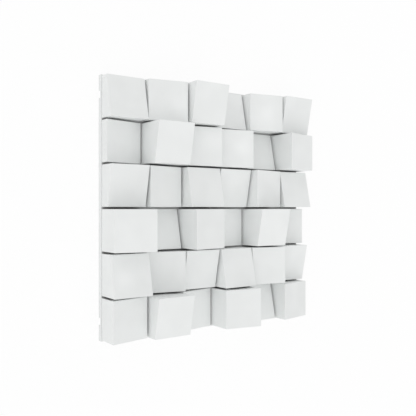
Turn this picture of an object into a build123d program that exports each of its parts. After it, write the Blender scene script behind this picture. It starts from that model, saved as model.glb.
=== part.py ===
from build123d import *
import os

# Acoustic scattering panel: mitred wooden blocks glued in a grid on a square board.
# Millimetres. The board lies on its back on z = 0, centred on the origin, with its blocks facing up.
# +X is the panel's right and +Y its top, as it hangs on a wall.

# Board
panel_side = 600.0
board_thickness = 12.0
board_arris = 0.5

# Grid of blocks
blocks_per_side = 6
block_gap = 5.0
block_arris = 0.5

# Heights above the board's front face
lowest_edge = 5.0
level_step = 10.0
mitre_rise = 20.0

# Channels across the board's back for the hanging rails
channel_width = 16.0
channel_depth = 8.0
channel_from_edge = 44.0
flange_seat_width = 48.0
flange_seat_depth = 1.0

# Each block's level, counted from the lowest, and the side that its face climbs to:
# R right, T top, L left or B bottom. Rows run from the top edge down, columns from the left.
layout = (
    "2B 3R 6T 0B 3R 4T",
    "0L 6T 3R 3R 0B 6L",
    "2.5T 2L 4B 2T 4L 3.3B",
    "6R 0B 6L 0L 6T 0R",
    "4B 2R 2T 4B 4R 2T",
    "3.3L 6T 0L 6R 0B 3.4L",
)
climb_order = "RTLB"

cell_pitch = panel_side / blocks_per_side
block_side = cell_pitch - block_gap


def make_board():
    """The square board, with its arrises taken off and two rail channels milled across its back."""
    board = Box(panel_side, panel_side, board_thickness, align=(Align.CENTER, Align.CENTER, Align.MIN))
    board = chamfer(board.edges(), board_arris)
    for side in (-1, 1):
        channel_y = side * (panel_side / 2 - channel_from_edge)
        for width, depth in ((flange_seat_width, flange_seat_depth), (channel_width, channel_depth)):
            cut = Box(panel_side, width, depth, align=(Align.CENTER, Align.CENTER, Align.MIN))
            board -= Pos(0, channel_y, 0) * cut
    return board


def make_block(level, climb):
    """A square block with a mitred face, standing on z = 0 and centred on the origin."""
    low = lowest_edge + level * level_step
    high = low + mitre_rise
    half = block_side / 2
    side_view = Plane.XZ * Polygon((-half, 0), (half, 0), (half, high), (-half, low), align=None)
    block = extrude(side_view, half, both=True)
    foot_edges = block.faces().sort_by(Axis.Z)[0].edges()
    block = chamfer(block.edges() - foot_edges, block_arris)
    quarter_turns = climb_order.index(climb)
    return Rot(0, 0, 90 * quarter_turns) * block


def cell_centre(row, column):
    """Where a block stands on the board's front face, for a row and a column counted from 0."""
    first = (cell_pitch - panel_side) / 2
    return Pos(first + column * cell_pitch, -first - row * cell_pitch, board_thickness)


os.makedirs("parts", exist_ok=True)
export_step(make_board(), "parts/back_board.step")
for row in range(blocks_per_side):
    row_plan = layout[row % len(layout)].split()
    for column in range(blocks_per_side):
        cell = row_plan[column % len(row_plan)]
        block = cell_centre(row, column) * make_block(float(cell[:-1]), cell[-1])
        export_step(block, f"parts/block_row{row + 1}_col{column + 1}.step")
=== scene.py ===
"""White-lacquered acoustic scattering panel: thirty-six mitred wooden blocks on a square board.

The solids come from the frame. This script rounds their arrises, lacquers them and lights them.
Metres throughout: the board lies on its back on the floor, +X is its right and +Y its top.
"""

from __future__ import annotations

import logging
import math
import random
from collections.abc import Mapping
from dataclasses import dataclass
from enum import Enum

import bmesh
import bpy
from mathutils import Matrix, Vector

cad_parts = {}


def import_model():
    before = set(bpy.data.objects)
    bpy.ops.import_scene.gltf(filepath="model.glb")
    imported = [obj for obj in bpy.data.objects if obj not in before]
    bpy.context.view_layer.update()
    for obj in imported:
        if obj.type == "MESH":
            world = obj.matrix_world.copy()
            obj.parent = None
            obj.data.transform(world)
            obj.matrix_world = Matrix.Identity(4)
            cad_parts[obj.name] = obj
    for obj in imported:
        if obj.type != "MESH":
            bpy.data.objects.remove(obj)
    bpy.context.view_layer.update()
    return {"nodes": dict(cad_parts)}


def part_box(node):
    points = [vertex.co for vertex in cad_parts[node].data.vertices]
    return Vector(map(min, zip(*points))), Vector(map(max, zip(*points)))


LOG = logging.getLogger("scattering_panel")
MILLIMETRE = 0.001
MICRON = 0.000001
WHITE = (1.0, 1.0, 1.0, 1.0)

# A hair's breadth, by which a place may miss the face that it is on.
HAIR = 0.05 * MILLIMETRE
# How near a block's corner a vertex counts as part of it.
CORNER_REACH = 2 * MILLIMETRE
# More than any block's height, so that a place on no side counts as far above every rim.
WELL_CLEAR = 1.0
# The reading about which noise varies, and how many finer waves it has if a finish sets no other number.
NOISE_MIDDLE = 0.5
NOISE_DETAIL = 2.0
# The angle of the wave texture's phase for each unit of its scaled length.
WAVE_RADIANS = 20.0

# The places of a Mix node's colours among its sockets.
MIX_LOW = 6
MIX_HIGH = 7
MIX_RESULT = 2

# Facets join within this distance and are one face within this angle; a sharper edge is an arris.
JOIN_REACH = 2 * MICRON
FLAT_WITHIN = math.radians(1.0)
ARRIS_FROM = math.radians(20.0)

Triple = tuple[float, float, float]


class Piece(Enum):
    """The names that the frame gives to the panel's pieces."""

    BOARD = "back_board"
    BLOCK = "block_row{row}_col{column}"


class Side(Enum):
    """A block's four sides, each as the step to the neighbour that faces it."""

    LEFT = (-1, 0)
    RIGHT = (1, 0)
    BOTTOM = (0, -1)
    TOP = (0, 1)

    def corner(self, end: int) -> tuple[int, int]:
        """The corner at the lower (-1) or upper (1) end of this side."""
        across, up = self.value
        return (across or end, up or end)

    def facing(self) -> Side:
        """The neighbour's side that faces this one."""
        across, up = self.value
        return Side((-across, -up))


class Ray(Enum):
    """The kinds of ray to which the backdrop shows itself as plain white."""

    CAMERA = "Is Camera Ray"
    GLOSSY = "Is Glossy Ray"
    TRANSMISSION = "Is Transmission Ray"


class Reading:
    """A value that varies over a surface, written in sums as a number is."""

    def __init__(self, sheet: Sheet, socket: bpy.types.NodeSocket | None) -> None:
        """Wraps an output socket of a node on a sheet."""
        self.sheet = sheet
        self.socket = socket

    def __add__(self, other: Reading | float) -> Reading:
        """This value plus another."""
        return self.sheet.math("ADD", self, other)

    def __radd__(self, other: float) -> Reading:
        """A number plus this value."""
        return self.sheet.math("ADD", other, self)

    def __sub__(self, other: Reading | float) -> Reading:
        """This value less another."""
        return self.sheet.math("SUBTRACT", self, other)

    def __rsub__(self, other: float) -> Reading:
        """A number less this value."""
        return self.sheet.math("SUBTRACT", other, self)

    def __mul__(self, other: Reading | float) -> Reading:
        """This value times another."""
        return self.sheet.math("MULTIPLY", self, other)

    def __lt__(self, other: Reading | float) -> Reading:
        """One where this value is below another, and nought elsewhere."""
        return self.sheet.math("LESS_THAN", self, other)

    def __gt__(self, other: Reading | float) -> Reading:
        """One where this value is above another, and nought elsewhere."""
        return self.sheet.math("GREATER_THAN", self, other)

    def __abs__(self) -> Reading:
        """This value without its sign."""
        return self.sheet.math("ABSOLUTE", self)


Value = Reading | float | tuple[float, ...]


class Sheet:
    """The node sheet of one finish, of the floor or of the surroundings."""

    def __init__(self, tree: bpy.types.NodeTree) -> None:
        """Clears a node tree, to be filled by the other methods."""
        self.tree = tree
        self.tree.nodes.clear()

    def add(
        self,
        kind: str,
        settings: Mapping[str, object],
        sockets: Mapping[str | int, Value],
        output: str | int = 0,
    ) -> Reading:
        """Adds one node.

        Args:
            kind: the node's type.
            settings: its properties, which are set first.
            sockets: the value or the link of each input that isn't left as it is.
            output: the output to hand back.

        Returns:
            The output that was asked for.
        """
        node = self.tree.nodes.new(kind)
        for name, setting in settings.items():
            setattr(node, name, setting)
        for name, value in sockets.items():
            if isinstance(value, Reading):
                self.tree.links.new(value.socket, node.inputs[name])
            else:
                node.inputs[name].default_value = value
        return Reading(self, node.outputs[output] if node.outputs else None)

    def math(self, operation: str, *values: Value) -> Reading:
        """Adds a Math node on the given values."""
        return self.add("ShaderNodeMath", {"operation": operation}, dict(enumerate(values)))

    def vector(self, operation: str, *values: Value, output: str = "Vector") -> Reading:
        """Adds a Vector Math node on the given vectors."""
        settings = {"operation": operation}
        return self.add("ShaderNodeVectorMath", settings, dict(enumerate(values)), output)

    def coordinate(self, output: str) -> Reading:
        """The place on the surface, read from one output of a Texture Coordinate node."""
        return self.add("ShaderNodeTexCoord", {}, {}, output)

    def parts(self, vector: Reading) -> tuple[Reading, Reading, Reading]:
        """Splits a vector.

        Args:
            vector: the vector.

        Returns:
            Its three components.
        """
        x = self.add("ShaderNodeSeparateXYZ", {}, {"Vector": vector}, "X")
        outputs = x.socket.node.outputs
        return x, Reading(self, outputs["Y"]), Reading(self, outputs["Z"])

    def noise(self, place: Reading, feature: float, detail: float = NOISE_DETAIL) -> Reading:
        """Noise whose features have the same size, in metres, along every axis."""
        sockets = {"Vector": place, "Scale": 1.0 / feature, "Detail": detail}
        return self.add("ShaderNodeTexNoise", {}, sockets)

    def rise(self, value: Reading, low: float, high: float) -> Reading:
        """A smooth rise from 0 to 1 as the value goes from low to high."""
        sockets = {"Value": value, "From Min": low, "From Max": high}
        return self.add("ShaderNodeMapRange", {"interpolation_type": "SMOOTHSTEP"}, sockets)

    def streaks(self, place: Reading, sizes: Triple) -> Reading:
        """Noise whose features have a size of their own, in metres, along each axis."""
        sockets = {"Vector": self.vector("DIVIDE", place, sizes), "Scale": 1.0, "Detail": NOISE_DETAIL}
        return self.add("ShaderNodeTexNoise", {}, sockets)

    def blend(self, factor: Reading, low: Value, high: Value) -> Reading:
        """A colour that goes from low to high with the factor."""
        sockets = {"Factor": factor, MIX_LOW: low, MIX_HIGH: high}
        return self.add("ShaderNodeMix", {"data_type": "RGBA"}, sockets, MIX_RESULT)

    def join(self, factor: Reading, low: Reading, high: Reading) -> Reading:
        """A shader that goes from low to high with the factor."""
        return self.add("ShaderNodeMixShader", {}, {0: factor, 1: low, 2: high})


@dataclass(frozen=True)
class Rim:
    """The upper rim of the gap along a block's side.

    Attributes:
        height: its height over the floor at the middle of the side.
        slope: how much it climbs for each metre along the side.
    """

    height: float
    slope: float


@dataclass(frozen=True)
class BlockSeat:
    """Where one block stands, and how high its front face is at each corner.

    Attributes:
        name: the block's name.
        low: the lowest corner of its box.
        high: the highest corner of its box.
        corners: the front face's height over the floor at each corner.
    """

    name: str
    low: Vector
    high: Vector
    corners: Mapping[tuple[int, int], float]

    @classmethod
    def read(cls, node: bpy.types.Object) -> BlockSeat:
        """Measures one block.

        Args:
            node: the block's object.

        Returns:
            The block's seat.
        """
        low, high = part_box(node.name)
        places = [vertex.co for vertex in node.data.vertices]
        corners = {}
        for across, x in ((-1, low.x), (1, high.x)):
            for up, y in ((-1, low.y), (1, high.y)):
                corner = Vector((x, y))
                near = [place for place in places if max(map(abs, place.xy - corner)) < CORNER_REACH]
                corners[across, up] = max(place.z for place in near)
        return cls(node.name, low, high, corners)

    def middle(self) -> Vector:
        """The middle of the block's box."""
        return (self.low + self.high) / 2

    def half(self) -> float:
        """Half the length of the block's side."""
        return (self.high.x - self.low.x) / 2

    def rim(self, side: Side, neighbour: BlockSeat) -> Rim:
        """Finds the rim of the gap between this block and a neighbour.

        Args:
            side: this block's side on the gap.
            neighbour: the block across the gap.

        Returns:
            The rim, which follows the lower of the two front faces.
        """
        facing = side.facing()
        lower, upper = (
            min(self.corners[side.corner(end)], neighbour.corners[facing.corner(end)]) for end in (-1, 1)
        )
        return Rim((lower + upper) / 2, (upper - lower) / (2 * self.half()))


@dataclass(frozen=True)
class Lacquer:
    """Sprayed white lacquer with a faint orange peel, under a thin coat of gloss, and with shade painted
    into its colour deep in the gaps.

    Attributes:
        name: the material's name.
        colour: the coat's colour where it is thickest.
        thin_colour: the colour where the coat is thin.
        painted_shade_colour: the grey painted deep in the gaps as shade.
        roughness: how far the white scatters a reflection.
        roughness_spread: how much the roughness varies over the surface.
        dry_roughness: how much rougher the dry spray in the gaps is.
        sheen_level: how strongly the white reflects under the gloss.
        gloss: how much of the surface the gloss covers.
        gloss_roughness: how far the gloss scatters a reflection.
        cloud_size: the length of the slow changes in the coat's thickness.
        cloud_detail: how many finer waves those changes have.
        cloud_range: the noise's readings where the coat is thickest and where it is thin.
        peel_size: the length of the orange peel.
        peel_height: the height of the orange peel.
    """

    name: str
    colour: Triple
    thin_colour: Triple
    # The grey painted deep in the gaps as shade.
    painted_shade_colour: Triple = (0.5, 0.5, 0.5)
    roughness: float = 0.5
    roughness_spread: float = 0.1
    dry_roughness: float = 0.3
    sheen_level: float = 0.02
    gloss: float = 0.15
    gloss_roughness: float = 0.1
    cloud_size: float = 60 * MILLIMETRE
    cloud_detail: float = 1.0
    cloud_range: tuple[float, float] = (0.3, 0.7)
    peel_size: float = 3 * MILLIMETRE
    peel_height: float = 20 * MICRON

    def start(self, name: str) -> tuple[bpy.types.Material, Sheet, Reading]:
        """Makes an empty material.

        Args:
            name: the material's name.

        Returns:
            The material, its node sheet and the place on the surface.
        """
        material = bpy.data.materials.new(name)
        material.use_nodes = True
        sheet = Sheet(material.node_tree)
        return material, sheet, sheet.coordinate("Object")

    def close(
        self,
        sheet: Sheet,
        thinness: Reading,
        shade: Reading,
        roughness: Reading,
        relief: Reading,
    ) -> None:
        """Joins a finish's readings to the shader.

        Args:
            sheet: the finish's node sheet.
            thinness: from 0 where the coat is thickest to 1 where it is thin.
            shade: painted shade, from 0 in the open to 1 deep in the gaps.
            roughness: the white's roughness in the open.
            relief: the height of the surface's fine relief, in microns.
        """
        bump = sheet.add("ShaderNodeBump", {}, {"Strength": 1.0, "Distance": MICRON, "Height": relief})
        coat = sheet.blend(thinness, (*self.colour, 1.0), (*self.thin_colour, 1.0))
        # Painted shade: the colour darkens towards a grey deep in the gaps.
        colour = sheet.blend(shade, coat, (*self.painted_shade_colour, 1.0))
        dry = roughness + shade * self.dry_roughness
        shader = sheet.add(
            "ShaderNodeBsdfPrincipled",
            {},
            {
                "Base Color": colour,
                "Roughness": dry,
                "Specular IOR Level": self.sheen_level,
                "Normal": bump,
                "Coat Weight": (1.0 - shade) * self.gloss,
                "Coat Roughness": self.gloss_roughness,
            },
        )
        sheet.add("ShaderNodeOutputMaterial", {}, {"Surface": shader})

    def peel(self, sheet: Sheet, place: Reading) -> Reading:
        """The orange peel, in microns."""
        return (sheet.noise(place, self.peel_size) - NOISE_MIDDLE) * (self.peel_height / MICRON)

    def clouds(self, sheet: Sheet, place: Reading) -> Reading:
        """The slow changes in the coat's thickness, from 0 to 1."""
        return sheet.rise(sheet.noise(place, self.cloud_size, self.cloud_detail), *self.cloud_range)


@dataclass(frozen=True)
class BlockLacquer(Lacquer):
    """The blocks' lacquer, through which the sawn wood's rings and pores still print faintly.

    Each block was cut across a square bar, so its rings run round an upright axis: they curve
    over the mitred face and stand as straight lines on the sides.

    Attributes:
        ring_spacing: the width of one year's growth.
        ring_height: how far the rings print through.
        ring_wander: how far the rings stray from a true circle.
        ring_wander_detail: how many finer waves the straying has.
        ring_wander_scale: how often the rings stray.
        pore_width: the width of a pore.
        pore_length: the length of a pore along the grain.
        pore_height: how far the pores print through.
        pith_reach: how far from its block's middle a bar's pith may lie.
        tone_spread: how much of the coat's range one block may differ by.
        fade_start: how far below a gap's rim the painted shade begins.
        fade_end: how far below a gap's rim the painted shade is full.
    """

    ring_spacing: float = 3.4 * MILLIMETRE
    ring_height: float = 20 * MICRON
    ring_wander: float = 1.6
    ring_wander_detail: float = 2.0
    ring_wander_scale: float = 0.12
    pore_width: float = 0.7 * MILLIMETRE
    pore_length: float = 18 * MILLIMETRE
    pore_height: float = 8 * MICRON
    pith_reach: float = 150 * MILLIMETRE
    tone_spread: float = 0.3
    fade_start: float = 8 * MILLIMETRE
    fade_end: float = 28 * MILLIMETRE

    def make(self, seat: BlockSeat, rims: Mapping[Side, Rim]) -> bpy.types.Material:
        """Makes the material of one block.

        Args:
            seat: where the block stands.
            rims: the rims of the gaps along its sides, where it has neighbours.

        Returns:
            The block's material.
        """
        draw = random.Random(seat.name)
        pith = Vector([draw.uniform(-self.pith_reach, self.pith_reach) for _ in range(3)])
        tone = draw.random() * self.tone_spread

        material, sheet, place = self.start(f"{self.name}_{seat.name}")
        wood = sheet.vector("SUBTRACT", place, tuple(seat.middle() + pith))
        rings = self.rings(sheet, wood)
        pores = sheet.streaks(wood, (self.pore_width, self.pore_width, self.pore_length))
        clouds = self.clouds(sheet, wood)
        relief = (
            self.peel(sheet, wood)
            + rings * (self.ring_height / MICRON)
            + (pores - NOISE_MIDDLE) * (self.pore_height / MICRON)
        )
        thinness = clouds * (1.0 - self.tone_spread) + tone
        roughness = self.roughness + (clouds + pores - 2 * NOISE_MIDDLE) * self.roughness_spread
        self.close(sheet, thinness, self.shade(sheet, place, seat, rims), roughness, relief)
        return material

    def rings(self, sheet: Sheet, wood: Reading) -> Reading:
        """Draws the growth rings about the bar's upright pith.

        Args:
            sheet: the finish's node sheet.
            wood: the place in the bar, measured from its pith.

        Returns:
            The rings' height, from 0 to 1.
        """
        settings = {"wave_type": "RINGS", "rings_direction": "Z", "wave_profile": "SAW"}
        sockets = {
            "Vector": wood,
            "Scale": 2 * math.pi / WAVE_RADIANS / self.ring_spacing,
            "Distortion": self.ring_wander,
            "Detail": self.ring_wander_detail,
            "Detail Scale": self.ring_wander_scale,
        }
        return sheet.add("ShaderNodeTexWave", settings, sockets, "Fac")

    def shade(self, sheet: Sheet, place: Reading, seat: BlockSeat, rims: Mapping[Side, Rim]) -> Reading:
        """Finds how much painted shade a place gets, down in a gap.

        Args:
            sheet: the finish's node sheet.
            place: the place on the surface.
            seat: where the block stands.
            rims: the rims of the gaps along the block's sides.

        Returns:
            From 0 in the open to 1 where the painted shade is full.
        """
        x, y, z = sheet.parts(sheet.vector("SUBTRACT", place, (*seat.middle().xy, 0.0)))
        depth = -WELL_CLEAR - z
        for side, rim in rims.items():
            across, up = side.value
            out, along = (x * across, y) if across else (y * up, x)
            on_side = out > seat.half() - HAIR
            depth = depth + on_side * (along * rim.slope + (rim.height + WELL_CLEAR))
        # Painted shade, which deepens with the depth below each gap's rim.
        return sheet.rise(depth, self.fade_start, self.fade_end)


@dataclass(frozen=True)
class BoardLacquer(Lacquer):
    """The board's lacquer: sprayed on the front and edges, and rolled thinly on the back.

    Attributes:
        roller_size: the length of the roller's stipple on the back.
        roller_detail: how many finer waves the stipple has.
        roller_height: the height of the roller's stipple.
        cutter_step: the spacing of the cutter's lines along the channels.
        cutter_run: the length of one of the cutter's lines.
        cutter_height: the depth of the cutter's lines.
        margin_shade: how much painted shade the strip round the blocks gets.
        back_reach: how far up the edges the back's rolled coat comes.
        back_thinness: how much of the coat's range the back and the channels are thinner by.
        back_roughness: how much rougher the back and the channels are.
    """

    roller_size: float = 5 * MILLIMETRE
    roller_detail: float = 3.0
    roller_height: float = 40 * MICRON
    cutter_step: float = 1.2 * MILLIMETRE
    cutter_run: float = 48 * MILLIMETRE
    cutter_height: float = 20 * MICRON
    margin_shade: float = 0.15
    back_reach: float = 0.4 * MILLIMETRE
    back_thinness: float = 0.5
    back_roughness: float = 0.35

    def make(self, front: float, field_half: float, channels: RailChannels) -> bpy.types.Material:
        """Makes the material.

        Args:
            front: the height of the board's front face over the floor.
            field_half: half the length of the field of blocks' side.
            channels: the board's rail channels, whose floors and walls are milled.

        Returns:
            The board's material.
        """
        material, sheet, place = self.start(self.name)
        x, y, z = sheet.parts(place)
        back = z < self.back_reach
        from_channel = abs(abs(y) - channels.from_middle)
        in_channel = (from_channel < channels.seat_width / 2) * (z < channels.depth + HAIR)
        milled = in_channel * (z > self.back_reach)
        # Painted shade on the board's front: full between the blocks, and faint on the strip round them.
        between_blocks = sheet.math("MAXIMUM", abs(x), abs(y)) < field_half
        shade = (z > front - HAIR) * (self.margin_shade + between_blocks * (1.0 - self.margin_shade))

        clouds = self.clouds(sheet, place)
        rolled = sheet.noise(place, self.roller_size, self.roller_detail) - NOISE_MIDDLE
        line_sizes = (self.cutter_run, self.cutter_step, self.cutter_step)
        lines = sheet.streaks(place, line_sizes) - NOISE_MIDDLE
        relief = (
            self.peel(sheet, place)
            + back * rolled * (self.roller_height / MICRON)
            + milled * lines * (self.cutter_height / MICRON)
        )
        unsprayed = back + milled
        thinness = clouds * (1.0 - self.back_thinness) + unsprayed * self.back_thinness
        roughness = (
            self.roughness
            + (clouds - NOISE_MIDDLE) * self.roughness_spread
            + unsprayed * self.back_roughness
        )
        self.close(sheet, thinness, shade, roughness, relief)
        return material


@dataclass(frozen=True)
class RailChannels:
    """The two channels that take the hanging rails across the board's back.

    Attributes:
        from_middle: the distance from the board's middle to a channel's middle.
        seat_width: the width of the shallow seat round a channel.
        depth: the channel's depth.
    """

    from_middle: float
    seat_width: float = 48 * MILLIMETRE
    depth: float = 8 * MILLIMETRE


def soften(node: bpy.types.Object, radius: float, segments: int = 3) -> None:
    """Rounds a solid's arrises, as sanding and lacquer leave them.

    Args:
        node: the solid's object.
        radius: how far the rounding reaches from each arris.
        segments: the number of strips in the rounding.
    """
    weld = node.modifiers.new("join_facets", "WELD")
    weld.merge_threshold = JOIN_REACH
    planes = node.modifiers.new("whole_faces", "DECIMATE")
    planes.decimate_type = "DISSOLVE"
    planes.angle_limit = FLAT_WITHIN
    rounding = node.modifiers.new("soft_arris", "BEVEL")
    rounding.width = radius
    rounding.segments = segments
    rounding.limit_method = "ANGLE"
    rounding.angle_limit = ARRIS_FROM
    rounding.harden_normals = True
    rounding.use_clamp_overlap = True


def dress(node: bpy.types.Object, material: bpy.types.Material) -> None:
    """Gives one solid its finish."""
    node.data.materials.clear()
    node.data.materials.append(material)


@dataclass
class BackBoard:
    """The square board that carries the blocks.

    Attributes:
        finish: the board's lacquer.
        arris: the rounding left on its edges.
        channel_from_edge: the distance from the board's edge to a channel's middle.
    """

    finish: BoardLacquer
    arris: float = 0.15 * MILLIMETRE
    channel_from_edge: float = 44 * MILLIMETRE

    def side(self) -> float:
        """The length of the board's side."""
        low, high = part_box(Piece.BOARD.value)
        return high.x - low.x

    def build(self, nodes: Mapping[str, bpy.types.Object], field_half: float) -> None:
        """Rounds and lacquers the board.

        Args:
            nodes: the frame's solids by name.
            field_half: half the length of the field of blocks' side.
        """
        node = nodes[Piece.BOARD.value]
        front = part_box(node.name)[1].z
        channels = RailChannels(self.side() / 2 - self.channel_from_edge)
        soften(node, self.arris)
        dress(node, self.finish.make(front, field_half, channels))
        LOG.info("%s: lacquered board, %.0f mm square", node.name, self.side() / MILLIMETRE)


@dataclass
class BlockField:
    """The grid of mitred blocks.

    Attributes:
        finish: the blocks' lacquer.
        blocks_per_side: how many blocks stand in a row and in a column.
        arris: the rounding left on a block's edges.
    """

    finish: BlockLacquer
    blocks_per_side: int = 6
    arris: float = 0.15 * MILLIMETRE

    def seats(self, nodes: Mapping[str, bpy.types.Object]) -> dict[tuple[int, int], BlockSeat]:
        """Measures every block.

        Args:
            nodes: the frame's solids by name.

        Returns:
            Each block's seat by its column, counted from the left, and its row, counted from the bottom.
        """
        seats = {}
        for row in range(1, self.blocks_per_side + 1):
            for column in range(1, self.blocks_per_side + 1):
                node = nodes[Piece.BLOCK.value.format(row=row, column=column)]
                seats[column, self.blocks_per_side - row] = BlockSeat.read(node)
        return seats

    def build(self, nodes: Mapping[str, bpy.types.Object]) -> float:
        """Rounds and lacquers every block.

        Args:
            nodes: the frame's solids by name.

        Returns:
            Half the length of the field's side.
        """
        seats = self.seats(nodes)
        for (column, from_bottom), seat in seats.items():
            rims = {}
            for side in Side:
                across, up = side.value
                neighbour = seats.get((column + across, from_bottom + up))
                if neighbour:
                    rims[side] = seat.rim(side, neighbour)
            node = nodes[seat.name]
            soften(node, self.arris)
            dress(node, self.finish.make(seat, rims))
            LOG.info("%s: lacquered block, %.1f mm off the floor", seat.name, seat.high.z / MILLIMETRE)
        return max(seat.high.x for seat in seats.values())


@dataclass
class Studio:
    """A pale floor under soft light from all round and five small lamps.

    The light is stronger from beyond the panel's head and foot, and a little from its left.

    Attributes:
        floor_reach: half the length of the floor's side.
        floor_overlap: how far the floor runs in under the board's arris, past which it is open.
        floor_drop: how far the floor lies under the board, so that the two faces don't coincide.
        floor_colour: the floor's colour in the light that it throws on the panel.
        shadow_share: how much of the panel's shadow shows on the white floor.
        level: the strength of the light from all round.
        lean: how much the light's strength leans to each side, as a vector.
        ends: how much stronger the light is from beyond the panel's head and foot.
        lamps: where the small round lamps hang that leave soft spots on the lacquer.
        lamp_radius: a lamp's radius.
        lamp_power: a lamp's power in watts.
    """

    floor_reach: float = 12.0
    floor_overlap: float = 0.4 * MILLIMETRE
    floor_drop: float = 0.3 * MILLIMETRE
    floor_colour: Triple = (0.94, 0.94, 0.94)
    shadow_share: float = 0.12
    level: float = 0.727
    lean: Triple = (-0.23, -0.29, 0.0)
    ends: float = 1.0
    lamps: tuple[Triple, ...] = (
        (0.20, 0.64, 2.20),
        (0.79, 0.60, 2.13),
        (0.41, 0.42, 2.20),
        (0.62, 0.39, 2.18),
        (0.72, 0.38, 1.96),
    )
    lamp_radius: float = 0.05
    lamp_power: float = 0.33

    def build(self, board_side: float) -> None:
        """Lays the floor, sets the light and hangs the lamps.

        Args:
            board_side: the length of the board's side.
        """
        self.lay_floor(board_side)
        self.light()
        self.hang_lamps()
        LOG.info("floor and light are set")

    def hang_lamps(self) -> None:
        """Hangs the small round lamps, which face straight down."""
        for number, place in enumerate(self.lamps, start=1):
            data = bpy.data.lights.new(f"round_lamp_{number}", "AREA")
            data.shape = "DISK"
            data.size = 2 * self.lamp_radius
            data.energy = self.lamp_power
            lamp = bpy.data.objects.new(data.name, data)
            lamp.location = place
            lamp.visible_camera = False
            bpy.context.scene.collection.objects.link(lamp)

    def seen(self, sheet: Sheet) -> Reading:
        """Finds the rays to which the backdrop is plain white.

        Args:
            sheet: the node sheet of the floor or of the surroundings.

        Returns:
            One for those rays, and nought for the others.
        """
        path = sheet.add("ShaderNodeLightPath", {}, {}, Ray.CAMERA.value)
        outputs = path.socket.node.outputs
        others = [Reading(sheet, outputs[ray.value]) for ray in (Ray.GLOSSY, Ray.TRANSMISSION)]
        return sheet.math("MAXIMUM", sheet.math("MAXIMUM", path, others[0]), others[1])

    def lay_floor(self, board_side: float) -> None:
        """Makes the floor, which is open under the board so that its back is lit too.

        Args:
            board_side: the length of the board's side.
        """
        shape = bmesh.new()
        bmesh.ops.create_grid(shape, x_segments=1, y_segments=1, size=self.floor_reach)
        opening = shape.faces[:]
        border = self.floor_reach - board_side / 2 + self.floor_overlap
        bmesh.ops.inset_region(
            shape, faces=opening, thickness=border, use_boundary=True, use_even_offset=True
        )
        bmesh.ops.delete(shape, geom=opening, context="FACES")
        bmesh.ops.translate(shape, verts=shape.verts, vec=(0.0, 0.0, -self.floor_drop))
        mesh = bpy.data.meshes.new("floor")
        shape.to_mesh(mesh)
        shape.free()
        mesh.materials.append(self.floor_finish())
        floor = bpy.data.objects.new("floor", mesh)
        bpy.context.scene.collection.objects.link(floor)

    def floor_finish(self) -> bpy.types.Material:
        """Makes the floor's material.

        Returns:
            A material that shows white to the camera, keeps the shadow and is clear from below.
        """
        material = bpy.data.materials.new("pale_floor")
        material.use_nodes = True
        sheet = Sheet(material.node_tree)
        seen = self.seen(sheet)
        colour = sheet.blend(seen, (*self.floor_colour, 1.0), WHITE)
        paper = sheet.add("ShaderNodeBsdfDiffuse", {}, {"Color": colour})
        glow = sheet.add("ShaderNodeEmission", {}, {"Color": WHITE, "Strength": 1.0})
        lit = sheet.join(seen * (1.0 - self.shadow_share), paper, glow)
        clear = sheet.add("ShaderNodeBsdfTransparent", {}, {})
        below = sheet.add("ShaderNodeNewGeometry", {}, {}, "Backfacing")
        sheet.add("ShaderNodeOutputMaterial", {}, {"Surface": sheet.join(below, lit, clear)})
        return material

    def light(self) -> None:
        """Sets the light from all round, which shows white to the camera."""
        world = bpy.data.worlds.new("soft_surround")
        world.use_nodes = True
        bpy.context.scene.world = world
        sheet = Sheet(world.node_tree)
        direction = sheet.coordinate("Generated")
        lean = sheet.vector("DOT_PRODUCT", direction, self.lean, output="Value")
        up_panel = sheet.parts(direction)[1]
        strength = (1.0 + lean + up_panel * up_panel * self.ends) * self.level
        seen = self.seen(sheet)
        shown = strength + seen * (1.0 - strength)
        surround = sheet.add("ShaderNodeBackground", {}, {"Color": WHITE, "Strength": shown})
        sheet.add("ShaderNodeOutputWorld", {}, {"Surface": surround})


@dataclass
class Viewpoint:
    """The camera, which looks down on the panel from its left.

    Attributes:
        place: where the camera stands.
        turn: the angle of its line of sight from straight down, in degrees.
        lens: its focal length, in millimetres.
        sensor: the width of its sensor, in millimetres.
    """

    place: Triple = (-0.8451, 0.0, 1.2084)
    turn: float = 35.02
    lens: float = 49.89
    sensor: float = 36.0

    def build(self) -> None:
        """Makes the camera and looks through it."""
        data = bpy.data.cameras.new("viewpoint")
        data.sensor_width = self.sensor
        data.lens = self.lens
        camera = bpy.data.objects.new("viewpoint", data)
        camera.location = Vector(self.place)
        camera.rotation_euler = (0.0, -math.radians(self.turn), 0.0)
        bpy.context.scene.collection.objects.link(camera)
        bpy.context.scene.camera = camera
        LOG.info("camera is set")


def main() -> None:
    """Builds the panel's looks round the frame."""
    logging.basicConfig(level=logging.INFO, format="%(name)s: %(message)s")
    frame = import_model()
    bpy.context.scene.view_settings.view_transform = "Standard"

    board_coat = BoardLacquer(
        name="board_coat",
        colour=(0.85, 0.865, 0.86),
        thin_colour=(0.82, 0.835, 0.83),
    )
    block_coat = BlockLacquer(
        name="block_coat",
        colour=(0.865, 0.88, 0.875),
        thin_colour=(0.83, 0.845, 0.84),
    )
    field_half = BlockField(block_coat).build(frame["nodes"])
    board = BackBoard(board_coat)
    board.build(frame["nodes"], field_half)
    Studio().build(board.side())
    Viewpoint().build()


if __name__ == "__main__":
    main()
